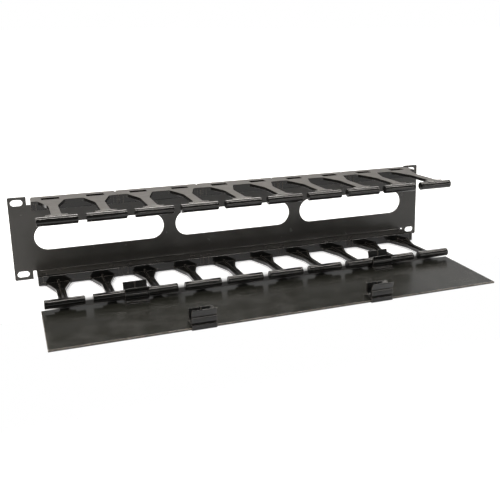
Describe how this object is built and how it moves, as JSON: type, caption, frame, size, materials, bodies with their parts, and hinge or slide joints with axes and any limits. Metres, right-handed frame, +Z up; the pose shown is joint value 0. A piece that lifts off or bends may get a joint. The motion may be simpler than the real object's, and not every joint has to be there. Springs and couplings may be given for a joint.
{
  "type": "horizontal cable manager",
  "caption": "Rack-mounted horizontal cable duct: folded steel panel with rows of T-shaped fingers above and below, and a clip-on front cover that swings down.",
  "frame": {"origin": "centre of the four rack slots, on the panel's rear face, which seats on the rack's rails", "axes": "+X right, +Y into the rack, +Z up"},
  "size_m": [0.4826, 0.1919, 0.0966],
  "materials": {
    "panel_paint": "satin black powder coat",
    "cover_paint": "satin black powder coat",
    "finger_plastic": "black, glossy bars and finely textured outer faces",
    "clip_plastic": "black, glossy"
  },
  "bodies": {
    "frame": {"rack_panel": "panel_paint", "upper_fingers_1": "finger_plastic", "upper_fingers_2": "finger_plastic", "upper_fingers_3": "finger_plastic", "upper_fingers_4": "finger_plastic", "upper_fingers_5": "finger_plastic", "lower_fingers_1": "finger_plastic", "lower_fingers_2": "finger_plastic", "lower_fingers_3": "finger_plastic", "lower_fingers_4": "finger_plastic", "lower_fingers_5": "finger_plastic"},
    "cover": {"cover_panel": "cover_paint", "hinge_clip_left": "clip_plastic", "hinge_clip_right": "clip_plastic", "latch_clip_left": "clip_plastic", "latch_clip_right": "clip_plastic"}
  },
  "joints": [
    {"name": "cover_hinge", "type": "hinge", "parent": "frame", "child": "cover", "pos_m": [0, -0.105, -0.0393], "axis": [-1, 0, 0], "range_deg": [-14, 92.54]}
  ]
}
